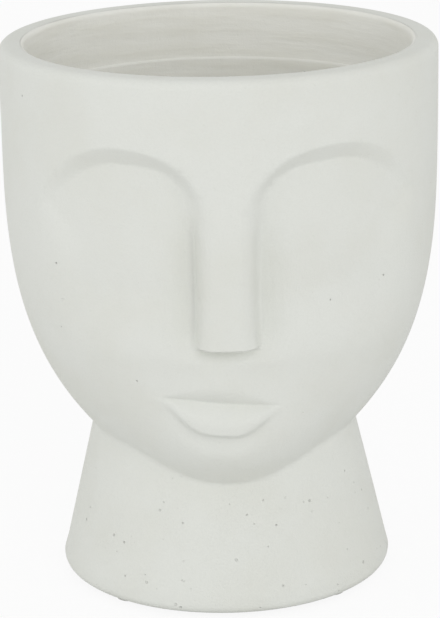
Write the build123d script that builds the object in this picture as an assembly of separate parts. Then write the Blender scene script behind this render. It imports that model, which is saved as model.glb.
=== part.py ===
from build123d import *
import math
import os

os.makedirs("parts", exist_ok=True)

# Lengths are in millimetres and angles in degrees. The origin is at the centre of the
# footprint, on the surface that the planter stands on. The face looks along -Y, +Z is up,
# and heights are measured from that surface.

# Pot
planter_height = 190.0
rim_radius = 75.0
wall = 8.8
rim_outer_round = 3.2
rim_inner_round = 2.0
ledge_height = 169.9
ledge_depth = 0.6
throat_height = 57.0
bowl_straight_height = 145.0
cut_overrun = 5.0

# Neck, a hollow cone on a foot ring
foot_radius = 59.0
neck_top_radius = 41.0
neck_top_height = 77.8
foot_round = 3.5
floor_thickness = 9.0
foot_ring_width = 15.0
underside_recess = 3.0

# Pads under the foot ring
pad_count = 4
pad_radius = 4.5
pad_thickness = 1.5
pad_turn = 45.0

# Drain hole and its plug
drain_radius = 6.5
plug_clearance = 0.05
plug_end_gap = 0.5
plug_end_chamfer = 1.0
plug_flange_radius = 11.0
plug_flange_thickness = 2.5
plug_flange_round = 0.8
plug_knob_radius = 4.5
plug_knob_height = 6.0
plug_knob_round = 2.0

# Round outline of the head: it draws in below one height and would close at another
taper_start_height = 174.7
taper_close_height = 15.6
outline_fullness = 3.86
outline_sharpness = 1.2
head_low_height = 33.0

# Chin, which reaches forward of the round outline
chin_reach = 12.0
chin_rise_height = 46.5
chin_full_height = 53.5
chin_fade_height = 94.0
chin_narrowness = 3.6

# Eye hollows, deepest beside the nose and flush with the temples and cheeks
socket_depth = 5.5
socket_angle = 60.0
socket_falloff = 1.5
socket_full_height = 113.5
socket_fade_height = 85.5

# Brow arches, whose step stands over the hollows and runs on down as the nose's flanks
arch_top_height = 167.0
arch_spring_height = 132.5
arch_bend_height = 150.0
arch_centre = 36.9
arch_inner_reach = 30.7
arch_outer_reach = 26.5
arch_inner_squareness = 2.4
arch_outer_squareness = 2.0
arch_offset = 0.9
step_share = 0.16
step_narrowing = 0.3
step_softness_share = 0.3

# Nose, which carries the forehead's surface down to its tip
nose_tip_height = 101.0
nose_underside = 2.2
nose_root_half_width = 16.0
nose_root_fade_width = 34.0
nose_offset = -1.0

# Mouth, set a little to one side and a little askew by the maker's hand
mouth_height = 79.9
mouth_half_width = 19.5
mouth_offset = -2.8
mouth_tilt = -4.7
mouth_undercut = 2.2
mouth_corner_power = 4.0
upper_lip_height = 5.0
upper_lip_reach = 1.5
philtrum_height = 12.0
philtrum_half_width = 14.0
lower_lip_height = 10.5
lower_lip_flat_half_width = 8.0
lower_lip_reach = 1.6
lower_lip_fullness_share = 0.8
lower_lip_edge = 1.4
chin_dip = 1.8
chin_dip_height = 8.0

# Places round the head where its face is drawn, which ends in a seam at each temple
seam_angle = 66.0
seam_blend_angle = 50.0
brow_angle = 33.0
lip_angle = 18.0
flank_outer_angle = 9.6
flank_inner_angle = 4.0
seam_steps = 6
brow_steps = 5
lip_steps = 5
flank_steps = 5
ridge_steps = 4
back_steps = 12
bowl_bands = 6
round_steps = 3


def ease(value, start, end):
    """0 at the start, 1 at the end, and a smooth change between them."""
    share = min(max((value - start) / (end - start), 0), 1)
    return share * share * (3 - 2 * share)


def ramp(share, softness):
    """A straight rise from 0 to 1 whose two ends are rounded over the given softness."""
    half = softness / 2
    if share <= -half or share >= 1 + half:
        return 0.0 if share < half else 1.0
    if share < half:
        return (share + half) ** 2 / (2 * softness)
    if share > 1 - half:
        return 1 - (1 + half - share) ** 2 / (2 * softness)
    return share


def round_outline(height, inset):
    """Radius of the head without its face, or of the wall's inside for an inset."""
    depth = taper_start_height - taper_close_height - inset
    drop = min(max(taper_start_height - height, 0) / depth, 1)
    return (rim_radius - inset) * (1 - drop**outline_fullness) ** outline_sharpness


def steps(start, end, count):
    """Evenly spaced values from start up to, and without, end."""
    return [start + (end - start) * step / count for step in range(count)]


def spaced(*marks):
    """Values that run through the marks, each given with the count of steps after it."""
    values = []
    for (start, count), (end, _) in zip(marks, marks[1:]):
        values += steps(start, end, count)
    return values + [marks[-1][0]]


def head_heights(finer):
    """Heights of the bands round the back of the head, or of the finer bands of the face."""
    rim_start = planter_height - rim_outer_round
    lip_foot = mouth_height - lower_lip_height - lower_lip_edge * 2
    table = (
        (head_low_height, 1, 2),
        (chin_rise_height, 1, 2),
        (chin_full_height, 2, 2),
        (lip_foot, 2, 4),
        (mouth_height, 1, 3),
        (mouth_height + upper_lip_height, 2, 1),
        (nose_tip_height - nose_underside, 1, 3),
        (nose_tip_height, 3, 3),
        (arch_spring_height, 2, 2),
        (arch_bend_height, 2, 3),
        (arch_top_height, 2, 1),
        (rim_start, 0, 0),
    )
    return spaced(*((height, bands * (cuts if finer else 1)) for height, bands, cuts in table))


def banded_outline(height):
    """Radius of the back of the head, which runs straight between its bands' heights."""
    heights = head_heights(False)
    for low, high in zip(heights, heights[1:]):
        if height <= high:
            share = (height - low) / (high - low)
            low_radius = round_outline(low, 0)
            return low_radius + (round_outline(high, 0) - low_radius) * share
    return rim_radius


def chin(angle, height):
    """Forward reach of the chin beyond the round outline."""
    edge = math.cos(math.radians(seam_angle))
    facing = max((math.cos(angle) - edge) / (1 - edge), 0) ** chin_narrowness
    rise = ease(height, head_low_height, chin_rise_height)
    fade = 1 - ease(height, chin_full_height, chin_fade_height)
    return chin_reach * facing * rise * fade


def hollow_share(angle, height):
    """Depth of the eye hollows at a place, as a share of their full depth."""
    turn = min(abs(math.degrees(angle)) / socket_angle, 1)
    side = (1 - turn * turn) ** socket_falloff
    return side * ease(height, socket_fade_height, socket_full_height)


def arch_place(x, height):
    """1 along the upper edge of the brow arch and along the nose's ridge, less inside."""
    across = ease(abs(x), arch_centre - arch_inner_reach, arch_centre)
    shift = nose_offset + (arch_offset - nose_offset) * across
    out = abs(x - shift) - arch_centre
    reach = arch_inner_reach if out < 0 else arch_outer_reach
    power = arch_inner_squareness if out < 0 else arch_outer_squareness
    rise = max(height - arch_spring_height, 0) / (arch_top_height - arch_spring_height)
    return ((abs(out) / reach) ** power + rise**power) ** (1 / power)


def forehead_share(x, height, depth_share):
    """1 on the forehead and the nose, 0 in the hollows, and between them on the step."""
    width = step_share * max(depth_share, step_share) ** step_narrowing
    across = ramp((arch_place(x, height) - 1 + width) / width, step_softness_share)
    under = ramp(
        (height - nose_tip_height + nose_underside) / nose_underside, step_softness_share
    )
    return across * under


def mouth_relief(x, height):
    """How far the lips stand out from the face, or below nothing where they cut in."""
    along = x - mouth_offset
    up = height - mouth_height - along * math.tan(math.radians(mouth_tilt))
    corner = 1 - min(abs(along) / mouth_half_width, 1) ** mouth_corner_power
    middle = 1 - ease(abs(along), 0, philtrum_half_width)
    cut = mouth_undercut * corner
    if up >= 0:
        lip = upper_lip_reach * middle
        if up < upper_lip_height:
            return (lip + cut) * ease(up, 0, upper_lip_height) - cut
        fade = ease(up, upper_lip_height, upper_lip_height + philtrum_height)
        return lip * (1 - fade)
    side = 1 - ease(abs(along), lower_lip_flat_half_width, mouth_half_width)
    depth = lower_lip_height * side
    if -up < depth:
        swell = math.sin(math.pi / 2 * min(-up / depth / lower_lip_fullness_share, 1))
        return (lower_lip_reach * side + cut) * swell - cut
    below = -up - depth
    lip = lower_lip_reach * side if depth > 0 else -cut
    dip = -chin_dip * side
    if below < lower_lip_edge:
        return lip + (dip - lip) * ease(below, 0, lower_lip_edge)
    return dip * (1 - ease(below, lower_lip_edge, lower_lip_edge + chin_dip_height))


def face_radius(angle, height):
    """Radius of the finished head at an angle from the front and at a height."""
    outline = round_outline(height, 0)
    seam = ease(abs(math.degrees(angle)), seam_blend_angle, seam_angle)
    plain = outline + (banded_outline(height) - outline) * seam + chin(angle, height)
    share = hollow_share(angle, height)
    x = plain * math.sin(angle)
    hollow = plain - socket_depth * share + mouth_relief(x, height)
    root = 1 - ease(abs(x), nose_root_half_width, nose_root_fade_width)
    proud = plain + (rim_radius - plain) * root
    return hollow + (proud - hollow) * forehead_share(x, height, share)


def face_angles():
    """Angles across the face, closest on the nose's flanks."""
    half = (
        (flank_inner_angle, flank_steps),
        (flank_outer_angle, lip_steps),
        (lip_angle, brow_steps),
        (brow_angle, seam_steps),
        (seam_angle, 0),
    )
    right = spaced(*half)
    left = [-angle for angle in reversed(right)]
    return left[:-1] + steps(-flank_inner_angle, flank_inner_angle, ridge_steps) + right


def ring(angles, radius_at, height, inward):
    """Points at one height, at each angle from the front, that far out from the axis."""
    points = []
    for degrees in angles:
        angle = math.radians(degrees)
        radius = radius_at(angle, height) - inward
        points.append(Vector(radius * math.sin(angle), -radius * math.cos(angle), height))
    return points


def sector(angles, radius_at, heights):
    """Part of the head between two upright planes through its axis, up to the rounded rim."""
    rings = [(height, 0) for height in heights]
    rim = rounded(-rim_outer_round, planter_height - rim_outer_round, rim_outer_round, 0, 90)
    rings += [(height, -inward) for inward, height in rim[1:]]
    span = angles[-1] - angles[0]
    places = [(angle - angles[0]) / span for angle in angles]
    wires = []
    for height, inward in rings:
        points = ring(angles, radius_at, height, inward)
        middle = Vector(0, 0, height)
        skin = Edge.make_spline(points, parameters=places)
        sides = [Edge.make_line(points[-1], middle), Edge.make_line(middle, points[0])]
        wires.append(Wire([skin] + sides))
    return Solid.make_loft(wires, ruled=True)


def make_head():
    """The whole head: the face in front of the seams and the round back behind them."""
    back_angles = spaced((seam_angle, back_steps), (360.0 - seam_angle, 0))
    back = sector(back_angles, lambda _, height: banded_outline(height), head_heights(False))
    return back + sector(face_angles(), face_radius, head_heights(True))


def turned(places):
    """Solid turned about the upright axis from a closed half profile of radius and height."""
    return revolve(Plane.XZ * Polygon(*places, align=None), Axis.Z)


def rounded(centre_x, centre_z, radius, start, end):
    """Places of a half profile along a rounded corner, both ends with it."""
    places = []
    for turn in spaced((start, round_steps), (end, 0)):
        lean = math.radians(turn)
        places.append((centre_x + radius * math.cos(lean), centre_z + radius * math.sin(lean)))
    return places


def make_mouth_opening():
    """The turned mouth above the ledge, with the rim's inner edge rounded."""
    mouth_radius = rim_radius - wall
    flare = mouth_radius + rim_inner_round
    shoulder = planter_height - rim_inner_round
    over = planter_height + cut_overrun
    lip = rounded(flare, shoulder, rim_inner_round, 180, 90)
    return turned([(0, ledge_height), (mouth_radius, ledge_height)] + lip + [(flare, over), (0, over)])


def neck_radius(height):
    """Outer radius of the neck's cone at a height."""
    lean = (foot_radius - neck_top_radius) / (neck_top_height - pad_thickness)
    return foot_radius - lean * (height - pad_thickness)


def make_neck():
    """The neck's cone, with its foot rounded."""
    round_top = pad_thickness + foot_round
    foot = rounded(neck_radius(round_top) - foot_round, round_top, foot_round, -90, 0)
    top = [(neck_top_radius, neck_top_height), (0, neck_top_height)]
    return turned([(0, pad_thickness)] + foot + top)


def hollow_radius(height):
    """Radius of the hollow: a cone in the neck, a bowl above it, and straight at the top."""
    if height >= bowl_straight_height:
        return rim_radius - wall - ledge_depth
    return max(round_outline(height, wall + ledge_depth), neck_radius(height) - wall)


def make_hollow():
    """The hollow of neck and bowl, from the floor up into the turned mouth."""
    floor = pad_thickness + floor_thickness
    top = ledge_height + cut_overrun
    marks = ((floor, 1), (throat_height, bowl_bands), (bowl_straight_height, 1), (top, 0))
    skin = [(hollow_radius(height), height) for height in spaced(*marks)]
    return turned([(0, floor)] + skin + [(0, top)])


def make_underside():
    """The recess inside the foot ring and the drain hole above it."""
    ceiling = pad_thickness + underside_recess
    recess_radius = foot_radius - foot_ring_width
    over = pad_thickness + floor_thickness + cut_overrun
    recess = [(0, 0), (recess_radius, 0), (recess_radius, ceiling)]
    return turned(recess + [(drain_radius, ceiling), (drain_radius, over), (0, over)])


def make_shell():
    """The cast pot: head, neck and foot in one wall."""
    body = make_head() + make_neck()
    return body - make_mouth_opening() - make_hollow() - make_underside()


def make_pads():
    """Round pads, spaced around the middle of the foot ring's flat."""
    middle = foot_radius - (foot_round + foot_ring_width) / 2
    pad = Cylinder(pad_radius, pad_thickness, align=(Align.CENTER, Align.CENTER, Align.MIN))
    places = PolarLocations(middle, pad_count, start_angle=pad_turn)
    return [place * pad for place in places]


def make_plug():
    """Rubber stopper: a shank in the drain hole, a flange on the floor and a knob to pull."""
    radius = drain_radius - plug_clearance
    low = pad_thickness + underside_recess + plug_end_gap
    floor = pad_thickness + floor_thickness
    flange_top = floor + plug_flange_thickness
    top = flange_top + plug_knob_height
    flange_edge = plug_flange_radius - plug_flange_round
    knob_edge = plug_knob_radius - plug_knob_round
    shank = [(radius - plug_end_chamfer, low), (radius, low + plug_end_chamfer), (radius, floor)]
    flange = rounded(flange_edge, flange_top - plug_flange_round, plug_flange_round, 0, 90)
    knob = rounded(knob_edge, top - plug_knob_round, plug_knob_round, 0, 90)
    foot = [(plug_flange_radius, floor)]
    neck = [(plug_knob_radius, flange_top)]
    return turned([(0, low)] + shank + foot + flange + neck + knob + [(0, top)])


export_step(make_shell(), "parts/planter_shell.step")
export_step(make_plug(), "parts/drain_plug.step")
for number, base_pad in enumerate(make_pads(), 1):
    export_step(base_pad, f"parts/base_pad_{number}.step")
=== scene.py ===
import math

import bpy
from mathutils import Matrix, Vector, noise


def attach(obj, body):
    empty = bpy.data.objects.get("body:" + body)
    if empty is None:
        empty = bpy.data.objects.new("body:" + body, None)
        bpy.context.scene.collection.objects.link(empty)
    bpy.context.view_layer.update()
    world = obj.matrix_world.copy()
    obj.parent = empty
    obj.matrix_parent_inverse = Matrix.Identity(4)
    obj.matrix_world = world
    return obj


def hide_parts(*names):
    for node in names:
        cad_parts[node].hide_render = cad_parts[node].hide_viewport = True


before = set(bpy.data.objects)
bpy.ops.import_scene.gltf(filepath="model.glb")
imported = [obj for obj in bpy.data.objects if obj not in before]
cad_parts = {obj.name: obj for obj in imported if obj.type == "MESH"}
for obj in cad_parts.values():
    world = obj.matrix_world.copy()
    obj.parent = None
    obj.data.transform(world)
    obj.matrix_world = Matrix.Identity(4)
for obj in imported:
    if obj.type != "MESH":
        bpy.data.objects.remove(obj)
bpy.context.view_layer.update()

# Lengths are in millimetres until they are placed. The face looks along -Y, and heights are
# measured from the surface that the planter stands on.
MM = 0.001

# Pot
planter_height = 190.0
rim_radius = 75.0
wall = 8.8
rim_outer_round = 3.2
rim_inner_round = 2.0
ledge_height = 169.9
ledge_depth = 0.6
ledge_edge = 0.1
floor_corner_round = 4.0

# Neck
foot_radius = 59.0
neck_top_radius = 41.0
neck_top_height = 77.8
foot_round = 3.5
foot_height = 1.5
floor_height = 10.5
ceiling_height = 4.5
foot_ring_radius = 44.0
drain_radius = 6.5
edge_round = 0.6
least_wall = 3.6
crease_softness = 1.3
throat_softness = 8.0

# Round outline of the head
taper_start_height = 174.7
taper_close_height = 15.6
outline_fullness = 3.86
outline_sharpness = 1.2
head_low_height = 34.0

# Chin
chin_reach = 12.0
chin_rise_height = 47.8
chin_full_height = 53.5
chin_fade_height = 94.0
chin_narrowness = 3.6
chin_half_angle = 66.0

# Eye hollows
socket_depth = 5.0
socket_angle = 63.0
socket_fullness = 3.5
socket_falloff = 1.4
socket_full_height = 120.0
socket_fade_height = 93.0

# Brow arches
arch_top_height = 167.0
arch_spring_height = 132.5
arch_centre = 36.9
arch_inner_reach = 31.7
arch_outer_reach = 26.5
arch_inner_squareness = 2.4
arch_outer_squareness = 2.0
arch_offset = 0.9
arch_end_low_height = 128.0
arch_end_height = 147.0
step_share = 0.115
step_swell_share = 0.075
step_spread_share = 0.5
step_narrowing = 1.0
step_softness_share = 0.16

# Nose
nose_tip_height = 101.0
nose_underside = 2.2
nose_root_half_width = 16.0
nose_root_fade_width = 34.0
nose_offset = -0.6
cove_share = 0.62
cove_width_share = 1.2
cove_fade_height = 138.0
cove_top_height = 158.0
groove_depth = 6.2
groove_power = 1.25
groove_width_share = 0.42
groove_full_half_width = 14.0
groove_low_height = 94.0
groove_full_height = 107.0
groove_fade_height = 127.0
groove_top_height = 160.0

# Mouth
mouth_height = 79.9
mouth_half_width = 19.1
mouth_offset = -3.2
mouth_tilt = -4.7
mouth_undercut = 2.2
mouth_corner_power = 4.0
upper_lip_height = 7.0
upper_lip_thin_share = 0.2
upper_lip_reach = 1.5
philtrum_height = 12.0
philtrum_half_width = 14.0
lower_lip_height = 10.2
lower_lip_flat_half_width = 8.0
lower_lip_softness_share = 0.75
lower_lip_reach = 1.6
lower_lip_fullness_share = 0.8
lower_lip_corner_share = 0.6
lower_lip_edge = 2.8
chin_dip = 1.8
chin_dip_height = 8.0

# Waviness that the casting keeps from its mould and from the hand that wiped it
wave_depth = 0.35
wave_length = 38.0

# How finely the pot is turned. Each band has the height where it starts and its rows.
front_half_angle = 65.0
front_steps = 260
back_steps = 92
foot_band_rows = 8
bands = ((40.0, 24), (60.0, 40), (88.0, 12), (98.0, 14), (104.0, 24), (140.0, 44), (171.0, 4))
bowl_rows = 32
edge_rows = 3
corner_rows = 4
foot_round_rows = 6
rim_outer_rows = 7
rim_inner_rows = 6
flat_row_radius = 20.0
mouth_row_height = 180.0
ledge_upper_gap = 0.4
ledge_lower_gap = 0.8
bowl_top_row_height = 164.0
bowl_low_gap = 5.0

# Where the outside is cut finer, and what counts as the outside of the wall
cut_margin = 2.0
lower_lip_margin = 6.0
brow_margin = 1.0
look_aside = 1.0
flat_share = 0.005
tip_half_width = 13.0
tip_half_height = 4.0
cut_wall_share = 0.5
carved_wall_share = 0.55
rim_top_gap = 0.2
wave_clear_radius = 13.0
pot_smooth_angle = 80.0
rubber_smooth_angle = 50.0

# Pin-sized openings left on the axis of a turned piece, and how near places have to be to merge
pole_radius = 0.02
pole_merge = 0.05

# Plug
plug_radius = 6.45
plug_steps = 48
plug_low = 5.0
plug_dish_radius = 2.6
plug_dish_edge_radius = 3.4
plug_dish_middle_depth = 0.6
plug_dish_depth = 0.5
plug_lead = 0.9
plug_lead_end = 0.1
plug_lead_height = 1.3
plug_groove_heights = (1.8, 3.1)
plug_groove_depth = 0.35
plug_groove_half_height = 0.3
plug_seat_edge = 0.3
plug_flange_radius = 11.0
plug_flange_top = 13.0
plug_flange_round = 0.8
plug_flange_rows = 6
plug_waist_depth = 0.5
plug_waist_round = 1.0
plug_waist_rows = 4
plug_waist_foot = 0.4
plug_knob_radius = 4.5
plug_knob_neck = 0.7
plug_knob_neck_height = 2.4
plug_knob_round = 1.6
plug_knob_rows = 7
plug_top = 19.0
plug_top_dish_radius = 1.8
plug_top_dish_low_radius = 1.2
plug_top_dish_edge_depth = 0.35
plug_top_dish_depth = 0.4

# Pads
pad_radius = 4.5
pad_steps = 28
pad_middle = 49.75
pad_first_turn = 45.0
pad_dish_depth = 0.25
pad_dish_flat_share = 0.45
pad_dish_flat_depth = 0.2
pad_dish_edge_share = 0.7
pad_round = 0.5
pad_round_rows = 5
pad_draft = 0.05
pad_top_edge = 0.1

# Studio
pure_white = (1.0, 1.0, 1.0, 1.0)
lamp_aim_height = 110.0
floor_white_share = 0.9
horizon_strength = 1.0
overhead_strength = 0.6259


def ease(value, start, end):
    """0 at the start, 1 at the end, and a smooth change between them."""
    share = min(max((value - start) / (end - start), 0), 1)
    return share * share * (3 - 2 * share)


def ramp(share, softness):
    """A straight rise from 0 to 1 whose two ends are rounded over the given softness."""
    half = softness / 2
    if share <= -half or share >= 1 + half:
        return 0.0 if share < half else 1.0
    if share < half:
        return (share + half) ** 2 / (2 * softness)
    if share > 1 - half:
        return 1 - (1 + half - share) ** 2 / (2 * softness)
    return share


def round_outline(height, inset):
    """Radius of the head without its face, or of the wall's inside for an inset."""
    depth = taper_start_height - taper_close_height - inset
    drop = min(max(taper_start_height - height, 0) / depth, 1)
    return (rim_radius - inset) * (1 - drop**outline_fullness) ** outline_sharpness


def chin(angle, height):
    """Forward reach of the chin beyond the round outline."""
    edge = math.cos(math.radians(chin_half_angle))
    facing = max((math.cos(angle) - edge) / (1 - edge), 0) ** chin_narrowness
    rise = ease(height, head_low_height, chin_rise_height)
    fade = 1 - ease(height, chin_full_height, chin_fade_height)
    return chin_reach * facing * rise * fade


def hollow_share(angle, height):
    """Depth of the eye hollows at a place, as a share of their full depth."""
    turn = min(abs(math.degrees(angle)) / socket_angle, 1)
    side = (1 - turn**socket_fullness) ** socket_falloff
    return side * ease(height, socket_fade_height, socket_full_height)


def arch_place(x, height):
    """1 along the upper edge of the brow arch and along the nose's ridge, less inside."""
    across = ease(abs(x), arch_centre - arch_inner_reach, arch_centre)
    shift = nose_offset + (arch_offset - nose_offset) * across
    out = abs(x - shift) - arch_centre
    reach = arch_inner_reach if out < 0 else arch_outer_reach
    power = arch_inner_squareness if out < 0 else arch_outer_squareness
    rise = max(height - arch_spring_height, 0) / (arch_top_height - arch_spring_height)
    return ((abs(out) / reach) ** power + rise**power) ** (1 / power)


def run_out(x, height):
    """0 along the arches, 1 where they have run out into the temples."""
    low = 1 - ease(height, arch_end_low_height, arch_end_height)
    return low * ease(abs(x - arch_offset), arch_centre, arch_centre + arch_outer_reach)


def step_width(x, height, depth_share):
    """Width of the step, as a share of the arch's reach."""
    away = ease(abs(x - arch_offset), groove_full_half_width, arch_centre)
    narrow = 1 - away + away * max(depth_share, step_share) ** step_narrowing
    return (step_share + step_swell_share * away) * narrow + step_spread_share * run_out(x, height)


def groove_share(x, height, depth_share):
    """Depth of the soft groove at the foot of the step, as a share of its full depth."""
    away = (1 - step_width(x, height, depth_share) - arch_place(x, height)) / groove_width_share
    side = (1 - min(max(away, 0), 1)) ** groove_power
    across = 1 - ease(abs(x), groove_full_half_width, arch_centre)
    rise = ease(height, groove_low_height, groove_full_height)
    return side * across * rise * (1 - ease(height, groove_fade_height, groove_top_height))


def forehead_share(x, height, depth_share):
    """1 on the forehead and the nose, 0 in the hollows, and between them on the step."""
    width = step_width(x, height, depth_share)
    place = (arch_place(x, height) - 1 + width) / width
    cove = cove_share * (1 - ease(height, cove_fade_height, cove_top_height))
    cove *= 1 - ease(abs(x - nose_offset), groove_full_half_width, arch_centre)
    foot = min(max(1 + place / cove_width_share, 0), 1) ** 2
    softness = step_softness_share + (1 - step_softness_share) * run_out(x, height)
    across = cove * foot + (1 - cove) * ramp(place, softness)
    under = ramp(
        (height - nose_tip_height + nose_underside) / nose_underside, step_softness_share
    )
    return across * under


def mouth_relief(x, height):
    """How far the lips stand out from the face, or below nothing where they cut in."""
    along = x - mouth_offset
    up = height - mouth_height - along * math.tan(math.radians(mouth_tilt))
    corner = 1 - min(abs(along) / mouth_half_width, 1) ** mouth_corner_power
    middle = 1 - ease(abs(along), 0, philtrum_half_width)
    cut = mouth_undercut * corner
    if up >= 0:
        lip = upper_lip_reach * middle
        arc = 1 - min(abs(along) / mouth_half_width, 1) ** 2
        tall = upper_lip_height * max(arc, upper_lip_thin_share)
        if up < tall:
            return lip - (lip + cut) * (1 - up / tall) ** 2
        return lip * (1 - ease(up, tall, tall + philtrum_height))
    flat = lower_lip_flat_half_width
    side = 1 - ramp((abs(along) - flat) / (mouth_half_width - flat), lower_lip_softness_share)
    depth = lower_lip_height * side
    reach = lower_lip_reach * ease(side, 0, lower_lip_corner_share)
    if -up < depth:
        swell = math.sin(math.pi / 2 * min(-up / depth / lower_lip_fullness_share, 1))
        return (reach + cut) * swell - cut
    below = -up - depth
    lip = reach if depth > 0 else -cut
    dip = -chin_dip * side
    if below < lower_lip_edge:
        return lip + (dip - lip) * ease(below, 0, lower_lip_edge)
    return dip * (1 - ease(below, lower_lip_edge, lower_lip_edge + chin_dip_height))


def face_radius(angle, height):
    """Radius of the finished head at an angle from the front and at a height."""
    plain = round_outline(height, 0) + chin(angle, height)
    if math.cos(angle) <= 0:
        return plain
    share = hollow_share(angle, height)
    x = plain * math.sin(angle)
    groove = groove_depth * groove_share(x, height, share)
    hollow = plain - socket_depth * share + mouth_relief(x, height)
    root = 1 - ease(abs(x), nose_root_half_width, nose_root_fade_width)
    proud = plain + (rim_radius - plain) * root
    raised = forehead_share(x, height, share)
    return hollow + (proud - hollow) * raised - groove * (1 - raised) ** 2


def neck_radius(height):
    """Outer radius of the neck's cone at a height."""
    lean = (foot_radius - neck_top_radius) / (neck_top_height - foot_height)
    return foot_radius - lean * (height - foot_height)


def joined(a, b, softness):
    """The larger of two radii, with the crease between them filled a little."""
    mix = max(softness - abs(a - b), 0) / softness
    return max(a, b) + mix * mix * softness / 4


def outside(angle, height):
    """Radius of the pot's outside, head and neck together."""
    if height < head_low_height:
        return neck_radius(height)
    if height > neck_top_height:
        return face_radius(angle, height)
    return joined(face_radius(angle, height), neck_radius(height), crease_softness)


def inside(height):
    """Radius of the pot's inside, bowl and neck together."""
    bowl = round_outline(height, wall + ledge_depth)
    return joined(bowl, neck_radius(height) - wall, throat_softness)


def alone(piece):
    """Makes this the only selected object, and the active one."""
    bpy.ops.object.select_all(action="DESELECT")
    piece.select_set(True)
    bpy.context.view_layer.objects.active = piece


def evenly(start, end, count):
    """Values from start to end in equal steps, both ends with them."""
    return [start + (end - start) * step / count for step in range(count + 1)]


def arc(centre, height, radius, start, end, count):
    """Places of a half profile along an arc, both ends with it."""
    places = []
    for turn in evenly(start, end, count):
        lean = math.radians(turn)
        places.append((centre + radius * math.cos(lean), height + radius * math.sin(lean)))
    return places


def turn_piece(name, profile, spins):
    """Draws a half profile by extruding one vertex, then spins it round the upright axis."""
    start = math.radians(-spins[0][0] / 2)
    bpy.ops.object.select_all(action="DESELECT")
    radius, height = profile[0]
    at = (radius * math.sin(start) * MM, -radius * math.cos(start) * MM, height * MM)
    bpy.ops.mesh.primitive_plane_add(size=MM, location=at)
    piece = bpy.context.object
    piece.name = piece.data.name = name
    bpy.ops.object.transform_apply(location=True)
    bpy.ops.object.mode_set(mode="EDIT")
    bpy.ops.mesh.select_mode(type="VERT")
    bpy.ops.mesh.select_all(action="SELECT")
    bpy.ops.mesh.merge(type="CENTER")
    for (radius, height), (next_radius, next_height) in zip(profile, profile[1:]):
        out = (next_radius - radius) * MM
        move = (out * math.sin(start), -out * math.cos(start), (next_height - height) * MM)
        bpy.ops.mesh.extrude_region_move(TRANSFORM_OT_translate={"value": move})
    bpy.ops.mesh.select_all(action="SELECT")
    for sweep, steps in spins:
        bpy.ops.mesh.spin(
            steps=steps, angle=math.radians(sweep), center=(0, 0, 0), axis=(0, 0, 1)
        )
    bpy.ops.mesh.select_all(action="SELECT")
    bpy.ops.mesh.remove_doubles(threshold=1e-6)
    bpy.ops.mesh.normals_make_consistent(inside=False)
    bpy.ops.object.mode_set(mode="OBJECT")
    return piece


def smooth(piece, angle):
    """Shades a piece smooth but for edges that turn by more than an angle in degrees."""
    alone(piece)
    bpy.ops.object.shade_smooth_by_angle(angle=math.radians(angle))


def pot_profile():
    """Half profile of the casting: underside, foot, neck, head, rim, bowl and floor."""
    top = planter_height
    mouth = rim_radius - wall
    foot_edge = foot_height + foot_round
    foot_flat = neck_radius(foot_edge) - foot_round
    rim_low = top - rim_outer_round
    corner = floor_height + floor_corner_round
    edge, recess, drain = edge_round, foot_ring_radius, drain_radius + edge_round
    outer, inner = rim_outer_round, rim_inner_round
    heights = []
    ends = [low for low, _ in bands] + [rim_low]
    for (low, rows), high in zip(((foot_edge, foot_band_rows), *bands), ends):
        heights += evenly(low, high, rows)[:-1]
    bowl_heights = evenly(bowl_top_row_height, floor_height + bowl_low_gap, bowl_rows)
    return [
        (drain, ceiling_height),
        (flat_row_radius, ceiling_height),
        *arc(recess - edge, ceiling_height - edge, edge, 90, 0, edge_rows),
        *arc(recess + edge, foot_height + edge, edge, 180, 270, edge_rows),
        *arc(foot_flat, foot_edge, foot_round, -90, 0, foot_round_rows)[:-1],
        *((outside(math.pi, height), height) for height in heights),
        *arc(rim_radius - outer, rim_low, outer, 0, 90, rim_outer_rows),
        *arc(mouth + inner, top - inner, inner, 90, 180, rim_inner_rows),
        (mouth, mouth_row_height),
        (mouth, ledge_height + ledge_upper_gap),
        (mouth - ledge_edge, ledge_height),
        (mouth - ledge_depth, ledge_height - ledge_edge),
        (mouth - ledge_depth, ledge_height - ledge_lower_gap),
        *((inside(height), height) for height in bowl_heights),
        *arc(inside(corner) - floor_corner_round, corner, floor_corner_round, 0, -90, corner_rows),
        (flat_row_radius, floor_height),
        *arc(drain, floor_height - edge, edge, 90, 180, edge_rows),
        *arc(drain, ceiling_height + edge, edge, 180, 270, edge_rows),
    ]


def finely_cut(angle, height):
    """Whether the carving is fine there: round the mouth, and on the step of the brow."""
    if abs(angle) > math.radians(front_half_angle):
        return False
    x = rim_radius * math.sin(angle)
    if abs(x - mouth_offset) < mouth_half_width + cut_margin:
        low = mouth_height - lower_lip_height - lower_lip_margin
        if low < height < mouth_height + upper_lip_height + cut_margin:
            return True
    low = nose_tip_height - nose_underside - cut_margin
    if not low <= height <= arch_top_height + brow_margin:
        return False
    depth_share = hollow_share(angle, height)
    shares = [forehead_share(x + step, height, depth_share) for step in (-look_aside, look_aside)]
    return min(shares) < 1 - flat_share and max(shares) > flat_share


def at_nose_tip(angle, height):
    """Whether the place is near the nose's tip, where its faces are steepest."""
    x = rim_radius * math.sin(angle)
    near = abs(height - nose_tip_height) < tip_half_height
    return near and abs(x - nose_offset) < tip_half_width


def facing(place):
    """Angle of a place from the front, and its height in millimetres."""
    return math.atan2(place.x, -place.y), place.z / MM


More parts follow.
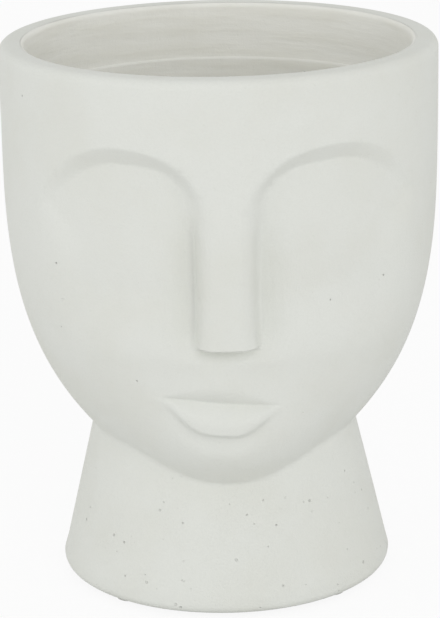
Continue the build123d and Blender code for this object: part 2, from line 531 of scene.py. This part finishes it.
def cut_finer(pot, wanted):
    """Cuts faces of the outside in four where the carving will be fine."""
    alone(pot)
    bpy.ops.object.mode_set(mode="EDIT")
    bpy.ops.mesh.select_mode(type="FACE")
    bpy.ops.mesh.select_all(action="DESELECT")
    bpy.ops.object.mode_set(mode="OBJECT")
    for face in pot.data.polygons:
        middle = face.center
        angle, height = facing(middle)
        if middle.y < 0 and head_low_height < height < arch_top_height + cut_margin:
            if middle.xy.length / MM > inside(height) + wall * cut_wall_share:
                face.select = wanted(angle, height)
    bpy.ops.object.mode_set(mode="EDIT")
    bpy.ops.mesh.subdivide(number_cuts=1)
    bpy.ops.mesh.select_mode(type="VERT")
    bpy.ops.object.mode_set(mode="OBJECT")


def carve(place):
    """Moves a place of the turned wall to the finished one, and says whether it is within."""
    angle, height = facing(place)
    radius = place.xy.length / MM
    if not foot_height + foot_round <= height <= planter_height - rim_top_gap:
        return False
    hollow = rim_radius - wall
    if height < ledge_height:
        hollow = inside(max(height, floor_height))
    if radius > hollow + wall * carved_wall_share:
        if height <= planter_height - rim_outer_round:
            place.xy *= outside(angle, height) / radius
        return False
    if head_low_height < height < ledge_height:
        place.xy *= min(radius, outside(angle, height) - least_wall) / radius
    return True


def make_pot():
    """The casting: turned round, then the face carved into its front."""
    spins = ((2 * front_half_angle, front_steps), (360 - 2 * front_half_angle, back_steps))
    pot = turn_piece("pot_casting", pot_profile(), spins)
    cut_finer(pot, finely_cut)
    cut_finer(pot, at_nose_tip)
    within = pot.data.attributes.new("within", "FLOAT", "POINT").data
    for vertex in pot.data.vertices:
        place = vertex.co
        within[vertex.index].value = float(carve(place))
        radius = place.xy.length / MM
        if place.z / MM > foot_height + foot_round and radius > wave_clear_radius:
            wave = (noise.noise(place / (wave_length * MM)) + 1) / 2
            place.xy *= 1 - wave_depth * wave / radius
    smooth(pot, pot_smooth_angle)
    return pot


class Value:
    """A number or colour that varies over a surface. Arithmetic on it adds Math nodes."""

    def __init__(self, recipe, socket):
        self.recipe = recipe
        self.socket = socket

    def math(self, operation, *values):
        return self.recipe.node("ShaderNodeMath", {"operation": operation}, values)

    def __add__(self, other):
        return self.math("ADD", self, other)

    def __sub__(self, other):
        return self.math("SUBTRACT", self, other)

    def __rsub__(self, other):
        return self.math("SUBTRACT", other, self)

    def __mul__(self, other):
        return self.math("MULTIPLY", self, other)

    def __truediv__(self, other):
        return self.math("DIVIDE", self, other)

    def or_more(self, other):
        """The larger of two values."""
        return self.math("MAXIMUM", self, other)

    def rise(self, start, end):
        """0 before start, 1 after end, smooth between them."""
        settings = {"interpolation_type": "SMOOTHSTEP"}
        return self.recipe.node("ShaderNodeMapRange", settings, (self, start, end, 0.0, 1.0))


class Recipe:
    """The nodes of a material or of the surround, written as expressions on their values."""

    def __init__(self, tree):
        self.tree = tree

    def node(self, kind, settings, values, output=0):
        """Adds a node, sets it up, fills its sockets in order or by name, and gives its output."""
        made = self.tree.nodes.new(kind)
        for key, setting in settings.items():
            setattr(made, key, setting)
        pairs = values.items() if isinstance(values, dict) else enumerate(values)
        for key, value in pairs:
            self.fill(made.inputs[key], value)
        return Value(self, made.outputs[output])

    def fill(self, socket, value):
        """Links a value to a socket, or sets the socket to a plain number or colour."""
        if isinstance(value, Value):
            self.tree.links.new(value.socket, socket)
        else:
            socket.default_value = value

    def ray(self, kind):
        """1 for rays of a kind, 0 for others."""
        return self.node("ShaderNodeLightPath", {}, (), f"Is {kind} Ray")


class Surface(Recipe):
    """The recipe of one material."""

    def __init__(self, name):
        self.material = bpy.data.materials.new(name)
        self.material.use_nodes = True
        super().__init__(self.material.node_tree)
        self.shader = self.tree.nodes["Principled BSDF"]
        self.place = self.node("ShaderNodeTexCoord", {}, (), "Object")

    def speckle(self, size, detail=2.0, place=None):
        """Noise whose patches are about the given size in millimetres."""
        values = {"Vector": place or self.place, "Scale": 1 / (size * MM), "Detail": detail}
        return self.node("ShaderNodeTexNoise", {}, values)

    def stretched(self, along):
        """The surface's coordinates, stretched by three factors."""
        return self.node("ShaderNodeMapping", {}, {"Vector": self.place, "Scale": along})

    def blended(self, share, first, second):
        """A colour between two others, given as three numbers or as a value."""
        values = {0: share, 6: self.full(first), 7: self.full(second)}
        return self.node("ShaderNodeMix", {"data_type": "RGBA"}, values, 2)

    def full(self, colour):
        """A colour with its fourth number, or the value that it already is."""
        return colour if isinstance(colour, Value) else (*colour, 1.0)

    def shade(self, **values):
        """Fills the shader's own sockets, named with underscores for spaces."""
        for key, value in values.items():
            self.fill(self.shader.inputs[key.replace("_", " ")], value)

    def relief(self, height):
        """Lets a height in millimetres stand out of the surface."""
        values = {"Strength": 1.0, "Distance": MM, "Height": height}
        self.shade(Normal=self.node("ShaderNodeBump", {}, values))
        return self.material


def pits_of(recipe, spacing, size, share):
    """Small round pits about so far apart, so large, in a share of the places for them."""
    settings = {"feature": "F1"}
    values = {"Vector": recipe.place, "Scale": 1 / (spacing * MM), "Randomness": 1.0}
    far = recipe.node("ShaderNodeTexVoronoi", settings, values, "Distance")
    lot = recipe.node("ShaderNodeTexVoronoi", settings, values, "Color")
    red = recipe.node("ShaderNodeSeparateColor", {}, (lot,), "Red")
    green = recipe.node("ShaderNodeSeparateColor", {}, (lot,), "Green")
    reach = (green * 0.6 + 0.4) * (size / spacing)
    near = 1 - (far / reach).rise(0.5, 1.0)
    return near * red.rise(1 - share, 1 - share + 0.01)


def bisque():
    """Unglazed matt white ceramic, with the marks of mould, core and sponge. Its inside is painted
    lighter than its outside as painted light, and its pits are painted darker as painted shade.
    """
    recipe = Surface("bisque_white")
    within = recipe.node("ShaderNodeAttribute", {"attribute_name": "within"}, (), "Fac")
    clouds = recipe.speckle(30, 3.0)
    patches = recipe.speckle(9, 3.0)
    tooth = recipe.speckle(0.7, 3.0)
    grit = recipe.speckle(0.28, 1.0)
    strokes = recipe.speckle(5, 4.0, recipe.stretched((1.0, 1.0, 0.16)))
    rings = recipe.speckle(7, 3.0, recipe.stretched((0.22, 0.22, 1.6)))

    pinholes = pits_of(recipe, 9, 0.5, 0.4)
    dents = pits_of(recipe, 26, 1.1, 0.3)
    height = recipe.node("ShaderNodeSeparateXYZ", {}, (recipe.place,), "Z")
    neck = 1 - height.rise(36 * MM, 52 * MM)
    sandy = recipe.speckle(16, 2.0).rise(0.34, 0.54) * (neck * 0.88 + 0.12)
    pocks = pits_of(recipe, 3.2, 0.62, 0.55) * sandy

    white = recipe.blended(clouds.rise(0.35, 0.7), (0.735, 0.748, 0.705), (0.715, 0.725, 0.675))
    white = recipe.blended(patches.rise(0.2, 1.0) * 0.35, white, (0.74, 0.755, 0.72))
    white = recipe.blended(tooth.rise(0.4, 0.75) * 0.12, white, (0.62, 0.63, 0.585))
    # The inside's cream with brushed rings is partly its own yellowish tint and partly painted
    # light: it is lighter than the outside's white to make up for the shade inside the bowl.
    cream_and_painted_light = recipe.blended(rings.rise(0.3, 0.75), (0.83, 0.83, 0.785), (0.79, 0.787, 0.73))
    colour = recipe.blended(within, white, cream_and_painted_light)
    # The pinholes, pocks and dents are painted darker than the white: painted shade in the pits.
    colour = recipe.blended(pinholes * 0.5, colour, (0.3, 0.3, 0.27))
    colour = recipe.blended(pocks * 0.38, colour, (0.42, 0.44, 0.39))
    colour = recipe.blended(dents * 0.06, colour, (0.5, 0.5, 0.46))
    recipe.shade(Base_Color=colour, Roughness=tooth * 0.12 + 0.82, Specular_IOR_Level=0.32)

    skin = tooth * (sandy * 0.08 + 0.06) + grit * 0.03 + strokes * 0.12 + patches * 0.1
    skin = skin + within * rings * 0.55
    return recipe.relief(skin - pinholes * 0.3 - pocks * 0.35 - dents * 0.14)


def rubber(name, dark, pale):
    """Moulded rubber with a fine skin and a little dust on it."""
    recipe = Surface(name)
    skin = recipe.speckle(0.5, 3.0)
    dust = recipe.speckle(3, 4.0)
    colour = recipe.blended(dust.rise(0.5, 0.8) * 0.5, dark, pale)
    recipe.shade(Base_Color=colour, Roughness=dust * 0.2 + 0.5, Specular_IOR_Level=0.4)
    return recipe.relief(skin * 0.04 + dust * 0.02)


def plug_profile():
    """Half profile of the plug: dished end, grooved shank, flange, waist and knob."""
    low, floor, flange_top, top = plug_low, floor_height, plug_flange_top, plug_top
    radius, knob = plug_radius, plug_knob_radius
    places = [
        (pole_radius, low + plug_dish_middle_depth),
        (plug_dish_radius, low + plug_dish_depth),
        (plug_dish_edge_radius, low),
        (radius - plug_lead, low),
        (radius - plug_lead_end, low + plug_lead),
        (radius, low + plug_lead_height),
    ]
    for start in plug_groove_heights:
        places += [
            (radius, low + start),
            (radius - plug_groove_depth, low + start + plug_groove_half_height),
            (radius, low + start + 2 * plug_groove_half_height),
        ]
    edge, waist_round, knob_round = plug_flange_round, plug_waist_round, plug_knob_round
    waist = knob - plug_waist_depth + waist_round
    return places + [
        (radius, floor - plug_seat_edge),
        (radius, floor),
        (plug_flange_radius - plug_seat_edge, floor),
        *arc(plug_flange_radius - edge, flange_top - edge, edge, -30, 90, plug_flange_rows),
        (waist + plug_waist_foot, flange_top),
        *arc(waist, flange_top + waist_round, waist_round, 270, 180, plug_waist_rows),
        (knob - plug_knob_neck, flange_top + plug_knob_neck_height),
        *arc(knob - knob_round, top - knob_round, knob_round, -20, 90, plug_knob_rows),
        (plug_top_dish_radius, top),
        (plug_top_dish_low_radius, top - plug_top_dish_edge_depth),
        (pole_radius, top - plug_top_dish_depth),
    ]


def pad_profile():
    """Half profile of a pad: shallow dish, soft edge and flat top."""
    radius, top = pad_radius, foot_height
    return [
        (pole_radius, pad_dish_depth),
        (radius * pad_dish_flat_share, pad_dish_flat_depth),
        (radius * pad_dish_edge_share, 0),
        *arc(radius - pad_round - pad_draft, pad_round, pad_round, -90, 0, pad_round_rows),
        (radius, top - pad_top_edge),
        (radius, top),
        (pole_radius, top),
    ]


def close_poles(piece):
    """Fills the pin-sized openings left on the axis."""
    alone(piece)
    bpy.ops.object.mode_set(mode="EDIT")
    bpy.ops.mesh.select_all(action="SELECT")
    bpy.ops.mesh.remove_doubles(threshold=pole_merge * MM)
    bpy.ops.mesh.normals_make_consistent(inside=False)
    bpy.ops.object.mode_set(mode="OBJECT")


def make_rubber(name, profile, steps):
    """A small turned piece with its two poles closed."""
    piece = turn_piece(name, profile, ((180, steps), (180, steps)))
    close_poles(piece)
    smooth(piece, rubber_smooth_angle)
    return piece


def make_pads():
    """Four moulded pads under the foot ring, each with a soft edge and a shallow dish."""
    last = make_rubber("pad", pad_profile(), pad_steps)
    pads = [last.copy() for _ in range(3)]
    for pad in pads:
        pad.data = last.data.copy()
        bpy.context.collection.objects.link(pad)
    pads.append(last)
    for number, pad in enumerate(pads):
        pad.name = pad.data.name = f"pad_{number + 1}"
        turn = math.radians(pad_first_turn + 90 * number)
        place = Vector((math.cos(turn), math.sin(turn), 0)) * pad_middle * MM
        pad.data.transform(Matrix.Translation(place))
    return pads


def dress(piece, material):
    """Gives a piece its one material."""
    piece.data.materials.clear()
    piece.data.materials.append(material)


def make_camera():
    """The photograph's viewpoint: a long lens, a little above the rim."""
    pitch, lean, yaw = 16.709, 0.988, 1.7
    camera_data = bpy.data.cameras.new("camera")
    camera_data.lens = 151.62
    camera_data.sensor_width = 36
    camera_data.clip_end = 20
    camera = bpy.data.objects.new("camera", camera_data)
    bpy.context.collection.objects.link(camera)
    place = Matrix.Translation((-26.90 * MM, -875.30 * MM, 355.99 * MM))
    turn = Matrix.Rotation(math.radians(-yaw), 4, "Z")
    tilt = Matrix.Rotation(math.radians(90 - pitch), 4, "X")
    roll = Matrix.Rotation(math.radians(-lean), 4, "Z")
    camera.matrix_world = place @ turn @ tilt @ roll
    bpy.context.scene.camera = camera


def make_lamp(name, place, width, height, watts):
    """A softbox that faces the pot. Its place and size are in metres."""
    light = bpy.data.lights.new(name, "AREA")
    light.shape = "RECTANGLE"
    light.size, light.size_y = width, height
    light.energy = watts
    lamp = bpy.data.objects.new(name, light)
    bpy.context.collection.objects.link(lamp)
    lamp.location = place
    aim = Vector((0, 0, lamp_aim_height * MM)) - lamp.location
    lamp.rotation_mode = "QUATERNION"
    lamp.rotation_quaternion = aim.to_track_quat("-Z", "Y")


def make_floor():
    """A white floor that keeps the pot's shadow."""
    bpy.ops.object.select_all(action="DESELECT")
    bpy.ops.mesh.primitive_grid_add(x_subdivisions=4, y_subdivisions=4, size=12)
    floor = bpy.context.object
    floor.name = "studio_floor"
    recipe = Surface("studio_white")
    recipe.shade(Base_Color=(0.86, 0.86, 0.86, 1), Roughness=0.9, Specular_IOR_Level=0.1)
    lit = Value(recipe, recipe.shader.outputs[0])
    white = recipe.node("ShaderNodeEmission", {}, {"Color": pure_white})
    seen = recipe.ray("Camera") * floor_white_share
    mixed = recipe.node("ShaderNodeMixShader", {}, (seen, lit, white))
    recipe.fill(recipe.tree.nodes["Material Output"].inputs["Surface"], mixed)
    dress(floor, recipe.material)


def make_surround():
    """Looks white, and lights the pot more from the horizon than from overhead."""
    world = bpy.data.worlds.new("studio")
    world.use_nodes = True
    world.node_tree.nodes.clear()
    bpy.context.scene.world = world
    recipe = Recipe(world.node_tree)
    way = recipe.node("ShaderNodeTexCoord", {}, (), "Generated")
    up = recipe.node("ShaderNodeSeparateXYZ", {}, (way,), "Z")
    strengths = (up, 0.0, 1.0, horizon_strength, overhead_strength)
    strength = recipe.node("ShaderNodeMapRange", {}, strengths)
    glow = {"Color": pure_white, "Strength": strength}
    soft = recipe.node("ShaderNodeBackground", {}, glow)
    white = recipe.node("ShaderNodeBackground", {}, {"Color": pure_white})
    seen = recipe.ray("Camera").or_more(recipe.ray("Glossy")).or_more(recipe.ray("Transmission"))
    mixed = recipe.node("ShaderNodeMixShader", {}, (seen, soft, white))
    recipe.fill(recipe.tree.nodes.new("ShaderNodeOutputWorld").inputs["Surface"], mixed)


make_camera()
make_floor()
make_surround()
make_lamp("key", (0.35, -1.6, 0.8), 1.3, 1.3, 6.5)
make_lamp("left", (-1.7, -0.2, 0.5), 1.2, 1.0, 3)

pot = make_pot()
dress(pot, bisque())
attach(pot, "planter")
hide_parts("planter_shell")

plug = make_rubber("plug_rubber", plug_profile(), plug_steps)
dress(plug, rubber("plug_black", (0.022, 0.022, 0.022), (0.09, 0.088, 0.084)))
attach(plug, "plug")
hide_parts("drain_plug")

pad_skin = rubber("pad_white", (0.7, 0.705, 0.67), (0.6, 0.6, 0.565))
for number, pad in enumerate(make_pads(), 1):
    dress(pad, pad_skin)
    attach(pad, "planter")
    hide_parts(f"base_pad_{number}")

view = bpy.context.scene.view_settings
view.view_transform = "Standard"

bpy.context.view_layer.update()
